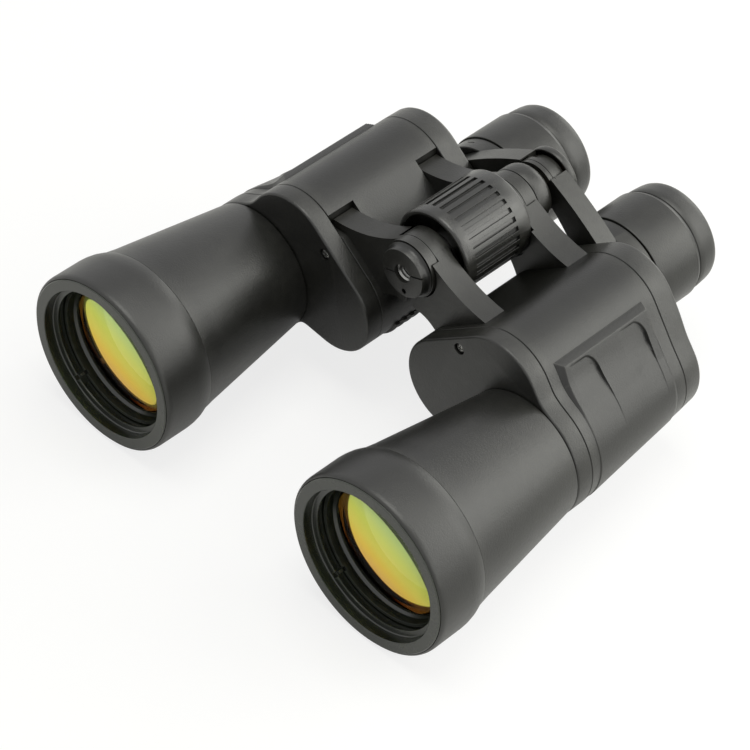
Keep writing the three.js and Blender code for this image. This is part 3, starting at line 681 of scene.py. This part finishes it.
for side, sign in SIDES:
    first, last = FRONT_SEAM + 0.32, REAR_SEAM - 0.32
    tube = lofted([(FRONT_SEAM + SEAM_EDGE, SEAM_INSET)]
                  + [(first + (last - first) * i / SPANS, 0.0) for i in range(SPANS + 1)]
                  + [(REAR_SEAM - SEAM_EDGE, SEAM_INSET), (REAR_SEAM - SEAM_EDGE, WALL),
                     (FRONT_SEAM + SEAM_EDGE, WALL)], ring=True)
    if sign < 0:
        steps = []
        for front, back in NOTCHES:
            solid_housing = lofted([(FRONT_SEAM + 0.3, 0.3), (REAR_SEAM - 0.3, 0.3)])
            pad = block((24, front - BACKING, -7), (37, back + BACKING, 5))
            steps.append(("UNION", machined(pad, ("INTERSECT", solid_housing))))
        for front, back in NOTCH_CUTS:
            steps.append(("DIFFERENCE", block((20, front, -5), (35.1, back, 10))))
        tube = machined(tube, *steps)
    piece(f"{side}_housing", mirrored(tube, sign), BODY_PAINT, f"{side}_half", "body_shell",
          f"{side}_prism_housing", sharp=32)
    front = machined(
        lofted([(FRONT_SEAM - 0.06, SEAM_INSET), (FRONT_SEAM - 0.26, 0.0), (PLATE + 0.8, 0.0),
                (PLATE + 0.49, 0.06), (PLATE + 0.234, 0.234), (PLATE + 0.06, 0.49), (PLATE, 0.8)]),
        ("DIFFERENCE", rod(20.6, PLATE - 1, FRONT_SEAM + 1, *OBJECTIVE, steps=BARREL_STEPS)),
        ("DIFFERENCE", rod(2.05, PLATE - 1, PLATE + 1.4, *SCREW, 48)))
    piece(f"{side}_front_cover", mirrored(front, sign), BODY_PAINT, f"{side}_half", "body_shell",
          f"{side}_front_cover", sharp=32)
    rear = machined(
        lofted([(REAR_SEAM + 0.06, SEAM_INSET), (REAR_SEAM + 0.26, 0.0), (134.1, 0.1), (134.7, 0.25),
                (135.15, 0.55), (135.4, 0.95), (HOUSING_END, 1.5)]),
        ("DIFFERENCE", rod(BORE, REAR_SEAM - 1, HOUSING_END + 1, *EYEPIECE, steps=96)))
    piece(f"{side}_rear_cover", mirrored(rear, sign), BODY_PAINT, f"{side}_half", "body_shell",
          f"{side}_rear_cover", sharp=32)

# ---- Grip panels and thumb rests.
# A rubber pad is let on to the flank of each housing, raised with a bevelled rim and dished into
# two finger scoops. Underneath, a ribbed strip gives the thumbs a hold.
PANEL_RUBBER = grained("black_grip_rubber", *RUBBER_TONES, (0.03, 0.03, 0.027), 0.36, 1900, 0.00026)
SUNK = 0.12
PANEL_FRONT = 80.8
PANEL_BACK = 122.0
TOP_EDGE = 67.2
TOP_BEVEL = 6.4
BOTTOM_EDGE = -37.7
BOTTOM_BEVEL = 2.5
THIN = 0.30
ADDED = 1.7
SCOOPS = ((84.6, 95.8, 6), (108.0, 118.2, 1))
SCOOP_TOP = 59.5
CORNER_START = 46.5
CORNER_SPAN = 13
CORNER_CUT = 4.7
SCOOP_DEPTH = 1.1
LOWEST = 0.05


def rise(value, low, high):
    """0 below low, 1 above high and an even slope between."""
    return min(max((value - low) / (high - low), 0.0), 1.0)


def spread(start, *runs):
    """Values from start through a row of runs, each given as its end and its number of steps."""
    values = [start]
    for end, steps in runs:
        values += [start + (end - start) * i / steps for i in range(1, steps + 1)]
        start = end
    return values


def pad_on_skin(angles, lengths, height):
    """A closed pad on the housing's skin, as high at each angle and length as height says."""
    shape = bmesh.new()
    columns, rows = len(angles) - 1, len(lengths) - 1
    bmesh.ops.create_grid(shape, x_segments=columns, y_segments=rows, size=0.5)
    reaches = []
    for angle in angles:
        turn = math.radians(angle)
        ray = Vector((math.cos(turn), 0, math.sin(turn)))
        reaches.append((ray, reach(turn, 0, 0.0), reach(turn, 1, 0.0)))
    for corner in shape.verts:
        column = round((corner.co.x + 0.5) * columns)
        y = lengths[round((corner.co.y + 0.5) * rows)]
        ray, near, far = reaches[column]
        back = (y - FRONT_SEAM) / (REAR_SEAM - FRONT_SEAM)
        radius = near + (far - near) * back + height(angles[column], y)
        corner.co = Vector((CENTRE.x, y, CENTRE.y)) + ray * radius
    top = bmesh.ops.extrude_face_region(shape, geom=shape.faces[:])
    for corner in top["geom"]:
        if isinstance(corner, bmesh.types.BMVert):
            flat = Vector((corner.co.x - CENTRE.x, 0, corner.co.z - CENTRE.y))
            angle = math.degrees(math.atan2(flat.z, flat.x))
            corner.co -= flat.normalized() * (height(angle, corner.co.y) + SUNK)
    bmesh.ops.recalc_face_normals(shape, faces=shape.faces)
    return shape


def scoop_depth(angle, y, front, back, low):
    """Depth of a finger scoop: it slopes down to a sharp step behind, round at its top corner."""
    corner = min(max((angle - CORNER_START) / CORNER_SPAN, 0.0), 1.0)
    step = back - CORNER_CUT * (1 - math.sqrt(1 - corner * corner))
    walls = rise(step - y, 0, 0.25) * rise(SCOOP_TOP - angle, 0, 0.8)
    return SCOOP_DEPTH * rise(y, front, back) ** 0.8 * rise(angle, low, low + 40) * walls


def panel_height(angle, y):
    """Height of the grip panel: thick along its mitred top, thin below, with two finger scoops."""
    thickness = THIN + ADDED * rise(angle, 24, 60)
    front_bevel = 0.25 + 1.9 * rise(angle, 6, 61) ** 1.8
    rim = min(rise(TOP_EDGE - angle, 0, TOP_BEVEL), rise(angle - BOTTOM_EDGE, 0, BOTTOM_BEVEL),
              rise(y, PANEL_FRONT, PANEL_FRONT + front_bevel), rise(PANEL_BACK - y, 0, 0.9))
    depth = sum(scoop_depth(angle, y, *scoop) for scoop in SCOOPS)
    return max(LOWEST + (thickness - LOWEST) * rim - depth, LOWEST)


panel_angles = spread(TOP_EDGE, (60.8, 12), (59.6, 4), (46, 44), (2, 40),
                      (BOTTOM_EDGE + BOTTOM_BEVEL, 12), (BOTTOM_EDGE, 3))
panel_lengths = spread(PANEL_FRONT, (84.6, 19), (90.8, 14), (96.2, 45), (108.0, 10), (113.3, 12),
                       (118.6, 45), (121.1, 5), (PANEL_BACK, 4))
for side, sign in SIDES:
    panel = pad_on_skin(panel_angles, panel_lengths, panel_height)
    piece(f"{side}_grip_panel", mirrored(panel, sign), PANEL_RUBBER, f"{side}_half", "rubber_armour",
          f"{side}_grip_panel", sharp=55)

THUMB_START = -169
THUMB_END = math.degrees(math.atan2(-52.4 - CENTRE.y, 26 - CENTRE.x))
THUMB_FRONT = 83.8
THUMB_PITCH = 3.4
RIB_WIDTH = 2.0
THUMB_RIBS = 9
THUMB_BACK = THUMB_FRONT + THUMB_PITCH * THUMB_RIBS - 1.6


def thumb_height(angle, y):
    """Height of the thumb rest: a low strip with rounded ribs across it."""
    share = ((y - THUMB_FRONT) % THUMB_PITCH) / RIB_WIDTH
    rib = math.sqrt(max(0.0, 1 - (2 * share - 1) ** 2)) if share < 1 else 0.0
    return 0.3 + 0.7 * rib


for side, sign in SIDES:
    rest = pad_on_skin(spread(THUMB_START, (THUMB_END, 40)), spread(THUMB_FRONT, (THUMB_BACK, 232)),
                       thumb_height)
    piece(f"{side}_thumb_rest", mirrored(rest, sign), PANEL_RUBBER, f"{side}_half", "rubber_armour",
          f"{side}_thumb_rest", sharp=40)

# ---- Cover screws.
# A small cross-head steel screw with a domed, slightly tarnished head sits in a counterbore at
# the inner top corner of each front cover.
BLACK_STEEL = grained("darkened_steel", (0.13, 0.13, 0.125), (0.21, 0.21, 0.20), (0.42, 0.42, 0.40),
                      0.30, 6000, 0.00002, metallic=1.0)

for side, sign in SIDES:
    x, z = sign * SCREW[0], SCREW[1]
    screw = machined(
        turned([(0, 70.35), (0.7, 70.4), (1.3, 70.56), (1.7, 70.9), (1.7, 71.3), (1.1, 71.3), (1.1, 83),
                (0, 83)], x, z, 48, ring=False),
        ("DIFFERENCE", block((x - 1.1, 69.5, z - 0.2), (x + 1.1, 70.9, z + 0.2))),
        ("DIFFERENCE", block((x - 0.2, 69.5, z - 1.1), (x + 0.2, 70.9, z + 1.1))))
    piece(f"{side}_cover_screw", screw, BLACK_STEEL, f"{side}_half", "plated_steel", f"{side}_cover_screw",
          edge=0.05, sharp=30)

# ---- Hinge arms.
# Each half has two cast arms that sweep up from its housing to a knuckle on the common axle. The
# knuckles of the halves lie one behind the other, and the arms are painted with the castings.
CASTING_PAINT = grained("black_casting_paint", *PAINT_TONES, (0.035, 0.035, 0.031), 0.33, 1750, 0.00022)
HUB = 10.2
AXLE = 5.0
GAP = 0.3
ARM_SEAT = 34.8
FRONT_ARM = (79.0, 87.6)
REAR_ARM = (117.2, 126.7)
FRONT_KNUCKLES = ((77.9, 81.55), (81.75, 88.0))
REAR_KNUCKLES = ((122.15, 127.0), (118.6, 121.95))


def curve(start, control, end, steps=14):
    """Points along a quadratic curve, without its start."""
    a, b, c = Vector(start), Vector(control), Vector(end)
    shares = [i / steps for i in range(1, steps + 1)]
    return [tuple(a * (1 - t) ** 2 + b * 2 * t * (1 - t) + c * t * t) for t in shares]


def slab(corners, front, back):
    """A flat outline in x and z, drawn out along y."""
    shape = bmesh.new()
    rim = [shape.verts.new((x, front, z)) for x, z in corners]
    face = bmesh.ops.contextual_create(shape, geom=rim)["faces"]
    moved = bmesh.ops.extrude_face_region(shape, geom=face)["geom"]
    far_rim = [corner for corner in moved if isinstance(corner, bmesh.types.BMVert)]
    bmesh.ops.translate(shape, vec=(0, back - front, 0), verts=far_rim)
    bmesh.ops.recalc_face_normals(shape, faces=shape.faces)
    return shape


def hinge_arm(sign, rear, front, back, own, other):
    """One arm with its knuckle, cleared for the other half's knuckle and sunk into its housing.

    Own and other are the first and last y of the two knuckles.
    """
    hub = HUB + (GAP if rear else 0)
    top = [(5.9, 8.3)] + curve((5.9, 8.3), (19, -1.5), (34, -2.4), 22) + [(38, -2.7), (40, -12), (22, -30)]
    if rear:
        under = [(13, -23)] + curve((13, -23), (11.2, -17.4), (7, -13)) + [(1.2, -10.8), (1.2, -4)]
    else:
        under = [(17, -25.5)] + curve((17, -25.5), (10.5, -15.6), (2.4, -16.2)) + [(1.2, -15.5), (1.2, -4)]
    steps = [
        ("DIFFERENCE", rod(hub + 0.5, other[0] - GAP, other[1] + GAP, steps=96)),
        ("UNION", rod(hub, *own, steps=96)),
        ("DIFFERENCE", rod(AXLE + GAP, own[0] - 1, own[1] + 1, steps=48)),
    ]
    housing = lofted([(front - 1, 0.6), (back + 1, 0.6)])
    if sign < 0:
        seat = block((20, front - 2, -4.7), (ARM_SEAT, back + 2, 12))
        steps.append(("DIFFERENCE", block((ARM_SEAT, front - 1, -30), (60, back + 1, 10))))
        steps.append(("DIFFERENCE", machined(housing, ("DIFFERENCE", seat))))
    else:
        steps.append(("DIFFERENCE", housing))
    if rear:
        wheel_room = rod(16.0, 110, 118.4, steps=96)
        steps.append(("DIFFERENCE", wheel_room))
    return machined(slab(top + under, front, back), *steps)


for side, sign in SIDES:
    order = 1 if sign < 0 else -1
    front_arm = hinge_arm(sign, False, *FRONT_ARM, *FRONT_KNUCKLES[::order])
    piece(f"{side}_front_arm", mirrored(front_arm, sign), CASTING_PAINT, f"{side}_half", "painted_casting",
          f"{side}_front_hinge_arm", edge=0.3, rings=3, sharp=35)
    rear_arm = hinge_arm(sign, True, *REAR_ARM, *REAR_KNUCKLES[::order])
    piece(f"{side}_rear_arm", mirrored(rear_arm, sign), CASTING_PAINT, f"{side}_half", "painted_casting",
          f"{side}_rear_hinge_arm", edge=0.3, rings=3, sharp=35)

# ---- Hinge axle and its caps.
# The hollow axle is pressed into the left half. Its front cap is a slotted nut with the thread for
# a tripod adapter, and a round-nosed cap closes it behind.
SOCKET = 3.3
SLOT_ANGLE = 20
THREAD_FRONT = 76.0
THREAD_PITCH = 1.27
THREAD_TURNS = 6
THREAD_BORE = 3.75

cap = machined(
    turned([(0, 74.5), (8.4, 74.5), (8.65, 74.6), (8.75, 74.85), (8.78, 76.1), (8.92, 76.8), (9.25, 77.3),
            (9.75, 77.6), (0, 77.6)], 0, 0, 96, ring=False),
    ("DIFFERENCE", rod(SOCKET, 73.5, 79)),
    ("DIFFERENCE", turned_to(block((-10, 73.5, -0.3), (10, 75.1, 0.3)), SLOT_ANGLE, 0, 0)),
    ("DIFFERENCE", rod(0.9, 73.5, 76, 1.25, -6.56, 24)))
piece("front_cap", cap, CASTING_PAINT, "left_half", "painted_casting", "hinge_front_cap", edge=0.12, sharp=35)

thread = [(THREAD_BORE, 77.8), (THREAD_BORE, THREAD_FRONT)]
for turn in range(THREAD_TURNS):
    y = THREAD_FRONT + THREAD_PITCH * turn
    thread += [(3.32, y), (2.75, y + 0.5), (2.75, y + 0.72), (3.32, y + 1.22)]
thread.append((THREAD_BORE, thread[-1][1]))
axle = merged(
    turned([(3.8, 77.9), (AXLE, 77.9), (AXLE, 127), (3.8, 127)], 0, 0, 64),
    turned(thread, 0, 0, 64))
piece("axle", axle, BLACK_STEEL, "left_half", "plated_steel", "hinge_axle", sharp=30)

rear_cap = turned([
    (3.8, 127.3), (10.5, 127.3), (10.6, 127.5), (10.6, 131.4), (10.45, 132.4), (10.05, 133.3),
    (9.4, 134.05), (8.6, 134.5), (7.6, 134.7), (3.8, 134.7),
], 0, 0, 96)
piece("rear_cap", rear_cap, CASTING_PAINT, "left_half", "painted_casting", "hinge_rear_cap",
      edge=0.1, sharp=40)

# ---- Focus wheel.
# A hard rubber sleeve moulded on a turned core: plain bands at both ends, and square-ended
# grooves between its ribs, so that a finger can roll it. It turns on the hinge axle.
WHEEL_RUBBER = grained("black_wheel_rubber", *RUBBER_TONES, (0.035, 0.035, 0.031), 0.27, 2400, 0.00012,
                       sheen=0.68)
WHEEL = 15.4
WHEEL_RIBS = 29
GROOVES = (92.6, 112.4)
GROOVE_DEPTH = 0.85
STEPS_PER_RIB = 6
wheel = turned([
    (5.3, 92.2), (13.2, 92.2), (13.3, 91.2), (13.55, 88.95), (13.75, 88.6), (14.1, 88.4),
    (14.55, 88.42), (14.95, 88.58), (15.25, 88.9), (WHEEL, 89.4), (WHEEL, GROOVES[0]),
    (WHEEL, GROOVES[1]), (WHEEL, 117.3), (15.2, 117.8), (14.9, 118.1), (5.3, 118.1),
], 0, 0, WHEEL_RIBS * STEPS_PER_RIB)
floors = []
for face in wheel.faces:
    middle = face.calc_center_median()
    step = math.atan2(middle.z, middle.x) % math.tau / math.tau * WHEEL_RIBS * STEPS_PER_RIB
    if GROOVES[0] < middle.y < GROOVES[1] and math.hypot(middle.x, middle.z) > WHEEL - 0.1:
        if int(step) % STEPS_PER_RIB >= STEPS_PER_RIB / 2:
            floors.append(face)
for corner in bmesh.ops.extrude_face_region(wheel, geom=floors)["geom"]:
    if isinstance(corner, bmesh.types.BMVert):
        corner.co -= Vector((corner.co.x, 0, corner.co.z)).normalized() * GROOVE_DEPTH
bmesh.ops.delete(wheel, geom=floors, context="FACES")
bmesh.ops.recalc_face_normals(wheel, faces=wheel.faces)
piece("focus_ring", wheel, WHEEL_RUBBER, "focus_wheel", "wheel_rubber", "focus_wheel", edge=0.09, sharp=35)

# ---- Focus spindle and bridge.
# A brass screw runs in the axle. Outside, it carries two thin cast arms, one for each half,
# that end in collars round the eyepieces, and a round cap on the end of the screw.
BRASS = grained("drawn_brass", (0.42, 0.28, 0.11), (0.52, 0.36, 0.15), (0.7, 0.52, 0.25),
                0.32, 5000, 0.00002, metallic=1.0)
ARM_FRONT = HOUSING_END + 0.3
ARM_BACK = 143.1

spindle = turned([
    (0, 94), (3.2, 94), (3.4, 94.2), (3.4, 135.2), (AXLE, 135.2), (AXLE, ARM_BACK), (2.7, ARM_BACK),
    (2.7, 145.6), (0, 145.6),
], 0, 0, 48, ring=False)
piece("spindle", spindle, BRASS, "left_eyepiece", "brass", "focus_spindle", edge=0.1, sharp=35)

end_cap = turned([
    (3, 145), (9.4, 145), (9.4, 143.4), (9.55, 143.2), (10, 143.2), (HUB, 143.45), (HUB, 145.4),
    (10.05, 145.8), (9.7, 146), (3, 146),
], 0, 0, 96)
piece("bridge_cap", end_cap, CASTING_PAINT, "left_eyepiece", "painted_casting", "bridge_end_cap",
      edge=0.1, sharp=40)

RIGHT_HUB = (9.2, ARM_FRONT, 139.4)
LEFT_HUB = (8.2, 139.6, ARM_BACK)
COLLAR_BACK = 149.3
NECK = 16.5
SEAT = 19.2
SEAT_FRONT = 142.8
CHAMFER = 0.3
LINE = (137.4, 137.65)
SLIT_ANGLE = 61

for side, sign in SIDES:
    own, other = (LEFT_HUB, RIGHT_HUB) if sign < 0 else (RIGHT_HUB, LEFT_HUB)
    top = [(6.8, 7.4)] + curve((6.8, 7.4), (21.9, -0.3), (35.4, -12))
    under = [(28, -14), (17, -12)] + curve((17, -12), (10, -4), (3.4, 0))
    collar = turned([
        (0, ARM_FRONT + CHAMFER), (NECK - CHAMFER, ARM_FRONT + CHAMFER), (NECK, ARM_FRONT + 2 * CHAMFER),
        (NECK, SEAT_FRONT), (SEAT - CHAMFER, SEAT_FRONT), (SEAT, SEAT_FRONT + CHAMFER),
        (SEAT, COLLAR_BACK - CHAMFER), (SEAT - CHAMFER, COLLAR_BACK), (0, COLLAR_BACK),
    ], *EYEPIECE, 120, ring=False)
    slit = turned_to(block((18.6 + EYEPIECE[0], 146.1, EYEPIECE[1] - 1.65),
                           (20 + EYEPIECE[0], 146.5, EYEPIECE[1] + 1.65)), SLIT_ANGLE, *EYEPIECE)
    line = turned([(own[0] - 0.25, LINE[0]), (HUB, LINE[0]), (HUB, LINE[1]), (own[0] - 0.25, LINE[1])],
                  0, 0, 96)
    arm = machined(
        slab(top + under, ARM_FRONT, ARM_BACK),
        ("DIFFERENCE", rod(other[0] + 0.4, other[1] - GAP, other[2] + GAP, steps=96)),
        ("UNION", rod(*own, steps=96)),
        ("UNION", collar),
        ("DIFFERENCE", rod(BORE, ARM_FRONT - 1, COLLAR_BACK + 1, *EYEPIECE, steps=96)),
        ("DIFFERENCE", rod(AXLE + GAP, ARM_FRONT - 1, ARM_BACK + 1, steps=48)),
        ("DIFFERENCE", slit if sign < 0 else line))
    piece(f"{side}_bridge_arm", mirrored(arm, sign), CASTING_PAINT, f"{side}_eyepiece", "painted_casting",
          f"{side}_bridge_arm", edge=0.2, sharp=35)

# ---- Eyepieces.
# A ring turns round each eyepiece tube: fixed on the left, and the diopter ring on the right. The
# glass sits in a black tube inside, and a folding rubber cup rests against the eye.
EYE_RUBBER = grained("black_eyecup_rubber", *RUBBER_TONES, (0.03, 0.03, 0.027), 0.36, 2000, 0.00022)
GLASS = clear_glass("polished_glass", (0.78, 0.86, 0.84), (0.86, 0.92, 0.90))
SLEEVE = 19.8
CUP_SHOULDERS = {"left": 168.7, "right": 169.25}
RINGS = {"left": ("left_eyepiece", "left_eyepiece_sleeve"), "right": ("diopter_ring", "right_diopter_ring")}
TUBE_BODIES = {"left": "left_eyepiece", "right": "right_ocular"}

for side, sign in SIDES:
    x, z = sign * EYEPIECE[0], EYEPIECE[1]
    ring_body, ring_node = RINGS[side]
    eye_body = TUBE_BODIES[side]
    sleeve = turned([
        (16.5, 149.42), (19.55, 149.42), (19.72, 149.52), (SLEEVE, 149.8), (SLEEVE, 167.4),
        (19.45, 168.0), (19.3, 168.6), (18.9, 168.6), (18.9, 165), (16.5, 165),
    ], x, z, 120)
    piece(f"{side}_ring", sleeve, CASTING_PAINT, ring_body, "painted_casting", ring_node, edge=0.12)
    tube = turned([
        (12.6, 121), (14, 121), (14, 150.6), (16.2, 150.6), (16.2, 170.2), (11.6, 170.2), (11.6, 169),
        (12.6, 169),
    ], x, z, 96)
    piece(f"{side}_eye_tube", tube, RING_BLACK, eye_body, "black_anodised", f"{side}_ocular_tube", edge=0.1)
    lens = turned([
        (0, 161), (12.2, 161), (12.2, 164.5), (10, 165.45), (8, 166.12), (5, 166.72), (2.5, 166.95), (0, 167),
    ], x, z, 96, ring=False)
    piece(f"{side}_eye_glass", lens, GLASS, eye_body, "optical_glass", f"{side}_eye_lens", sharp=40)
    shoulder = CUP_SHOULDERS[side]
    cup = turned([
        (16.5, 166.6), (18.78, 166.6), (18.78, shoulder), (18.95, shoulder + 0.05),
        (19.15, shoulder + 0.3), (19.1, 172), (18.8, 175.4), (18.55, 176.8), (18.1, 177.75),
        (17.5, 178.25), (16.8, 178.4), (16.2, 178.3), (15.75, 177.9), (15.5, 177.2), (15.2, 173.2),
        (11.2, 172.2), (11.2, 170.5), (16.5, 170.5),
    ], x, z, 120)
    piece(f"{side}_cup", cup, EYE_RUBBER, eye_body, "rubber_armour", f"{side}_eyecup", edge=0.12, sharp=40)

# ---- Inside the housings.
# The prisms, their spring clips, the shelf between them, the field lenses and the pin of the wheel
# keep their solids' shapes. They are polished glass, spring steel and blackened castings.
INNER_FINISHES = (("prism_clip", BLACK_STEEL), ("prism_shelf", RING_BLACK), ("prism", GLASS),
                  ("field_lens", GLASS), ("drive_pin", BLACK_STEEL))

for name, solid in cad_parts.items():
    for kind, finish in INNER_FINISHES:
        if kind in name and "housing" not in name:
            solid.data.materials.clear()
            solid.data.materials.append(finish)
            break
